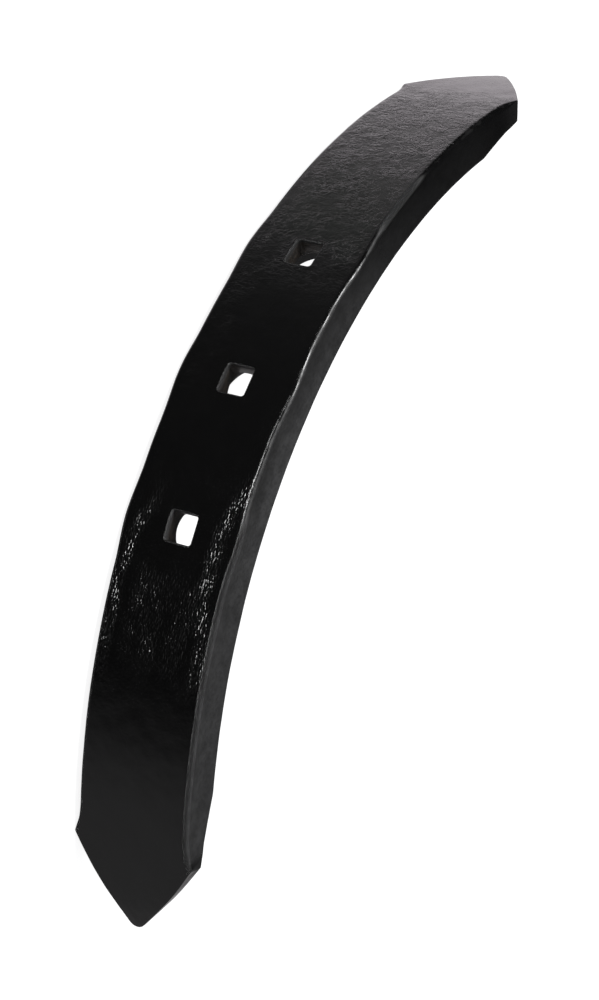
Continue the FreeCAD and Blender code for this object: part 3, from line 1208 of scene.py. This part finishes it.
@dataclass(frozen=True)
class Surroundings:
    """Even grey light from all round, white for the camera, and the sheen on the paint.

    The sheen depends on the direction: below the bar it is pale to one side and nearly black
    to the other, above the bar it is dark, and level with it there is a low window with haze
    below it. The stops are the direction in degrees about the upright and the level there.
    Heights are the upright part of the direction, and turns are shares of a full turn.
    """

    even_light: Colour = (0.57, 0.57, 0.585, 1.0)
    white: Colour = (1.0, 1.0, 1.0, 1.0)
    window: Colour = (18.0, 18.0, 18.0, 1.0)
    window_turn: float = 0.796
    window_height: float = 0.05
    haze: float = 0.018
    low_sheen: tuple[tuple[float, float], ...] = (
        (0, 0.175), (20, 0.3), (60, 0.4), (90, 0.4), (120, 0.5), (146, 0.92), (153, 1.1),
        (160, 1.04), (167, 0.80), (175, 0.64), (182, 0.49), (189, 0.40), (196, 0.33), (204, 0.26),
        (212, 0.20), (219, 0.125), (227, 0.075), (234, 0.055), (250, 0.038), (313, 0.02),
        (321, 0.06), (329, 0.13), (336, 0.17), (344, 0.18), (360, 0.175))
    high_sheen: tuple[tuple[float, float], ...] = (
        (0, 0.2), (50, 0.12), (97, 0.09), (108, 0.07), (119, 0.02), (215, 0.015), (250, 0.05),
        (300, 0.06), (335, 0.15), (360, 0.2))

    def grey(self, level: float) -> Colour:
        """Grey of a level, which leans to rose where it is pale."""
        return level, level * (1 - 0.07 * level), level * (1 - 0.02 * level), 1.0

    def sheen(self, graph: Graph, turn: Wire, levels: Sequence[tuple[float, float]]) -> Wire:
        """Colour of the sheen all round.

        Args:
            graph: Graph of the world.
            turn: Direction about the upright, as a share of a full turn.
            levels: Degrees and level of each stop.

        Returns:
            The colour.
        """
        stops = [(degrees / 360, self.grey(level)) for degrees, level in levels]
        return graph.node("ShaderNodeValToRGB", {0: turn}, {"stops": stops})

    def build(self) -> None:
        """Sets the world of the scene."""
        world = bpy.data.worlds.new("surroundings")
        bpy.context.scene.world = world
        graph = Graph(world)
        x, y, z = graph.parts(graph.node("ShaderNodeTexCoord", output="Generated"))
        turn = y.turn_from(x)
        beside = (turn - self.window_turn).size().ramp(0.075, 0.055)
        pane = (z - self.window_height).size().ramp(0.065, 0.04)
        window = (pane + z.ramp(-0.46, -0.06) * self.haze) * beside
        sheen = graph.mix(z.ramp(-0.1, -0.35), self.sheen(graph, turn, self.high_sheen),
                          self.sheen(graph, turn, self.low_sheen))
        mirrored = graph.mix(window, sheen, self.window)
        lit = graph.mix(graph.ray_is("Glossy"), self.even_light, mirrored)
        colour = graph.mix(graph.ray_is("Camera"), lit, self.white)
        graph.surface(graph.node("ShaderNodeBackground", {"Color": colour, "Strength": 1.0}),
                      "ShaderNodeOutputWorld")


@dataclass(frozen=True)
class Floor:
    """Pale floor the bar lies on, white for the camera and clear for reflections, in metres."""

    reach: float = 30.0
    grey: Colour = (0.35, 0.35, 0.35, 1.0)
    white: Colour = (1.0, 1.0, 1.0, 1.0)
    glow: float = 0.86

    def finish(self) -> bpy.types.Material:
        """The material of the floor.

        Returns:
            A pale material that keeps the shadow.
        """
        material = bpy.data.materials.new("white_floor")
        graph = Graph(material)
        pale = graph.node("ShaderNodeBsdfDiffuse", {"Color": self.grey})
        glow = graph.node("ShaderNodeEmission", {
            "Color": self.white, "Strength": graph.ray_is("Camera") * self.glow})
        floor = graph.node("ShaderNodeAddShader", {0: pale, 1: glow})
        clear = graph.node("ShaderNodeBsdfTransparent")
        graph.surface(graph.node("ShaderNodeMixShader", {
            0: graph.ray_is("Glossy"), 1: floor, 2: clear}))
        return material

    def build(self) -> bpy.types.Object:
        """The floor.

        Returns:
            The floor as a stage object of the scene.
        """
        corners = np.array([[-1, -1, 0], [1, -1, 0], [1, 1, 0], [-1, 1, 0]]) * self.reach
        mesh = bpy.data.meshes.new("floor")
        mesh.from_pydata(corners.tolist(), [], [(0, 1, 2, 3)])
        mesh.materials.append(self.finish())
        plate = bpy.data.objects.new("floor", mesh)
        bpy.context.scene.collection.objects.link(plate)
        return plate


@dataclass
class Studio:
    """Floor, surroundings, lamp and camera, in metres.

    The camera's place is counted from the middle of the rounded-out face.
    """

    middle: tuple[float, float, float]
    floor: Floor = Floor()
    surroundings: Surroundings = Surroundings()
    key: Lamp = Lamp("key", (-0.68, -0.68, 1.16), (0, 0, 0.02), (0.4, 0.4), 12.6)
    camera_place: tuple[float, float, float] = (0.252185, -0.690691, 0.463590)
    right: tuple[float, float, float] = (-0.382871, 0.3881506, 0.8383014)
    up: tuple[float, float, float] = (-0.8879339, -0.4050294, -0.2180025)
    lens: float = 83.2585
    sensor_height: float = 36.0

    def camera(self) -> bpy.types.Object:
        """Camera at the photograph's viewing angle.

        Returns:
            The camera as the camera of the scene.
        """
        data = bpy.data.cameras.new("camera")
        data.sensor_fit = "VERTICAL"
        data.sensor_height = self.sensor_height
        data.lens = self.lens
        data.clip_start, data.clip_end = 0.05, 200.0
        eye = bpy.data.objects.new("camera", data)
        right, up = Vector(self.right).normalized(), Vector(self.up).normalized()
        turn = Matrix((right, up, right.cross(up))).transposed().to_4x4()
        place = Vector(self.middle) + Vector(self.camera_place)
        eye.matrix_world = Matrix.Translation(place) @ turn
        bpy.context.scene.collection.objects.link(eye)
        bpy.context.scene.camera = eye
        return eye

    def build(self) -> None:
        """Puts the studio into the scene."""
        bpy.context.scene.view_settings.view_transform = "Standard"
        self.floor.build()
        self.surroundings.build()
        self.camera()
        self.key.build()


def main() -> None:
    """Builds the bar and the studio."""
    logging.basicConfig(level=logging.INFO, format="%(name)s: %(message)s")
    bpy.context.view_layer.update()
    low, high = (np.array(corner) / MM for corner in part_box("coulter"))
    bend = Bend(axis_y=low[1] + Bend.radius, middle_z=(low[2] + high[2]) / 2)
    bar = CoulterBar(bend).build()
    bar.data.materials.append(BlackDip().build())
    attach(bar, "root")
    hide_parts("coulter")
    LOG.info("bar: %d points", len(bar.data.vertices))
    Studio(middle=(0.0, float(low[1]) * MM, bend.middle_z * MM)).build()


if __name__ == "__main__":
    main()
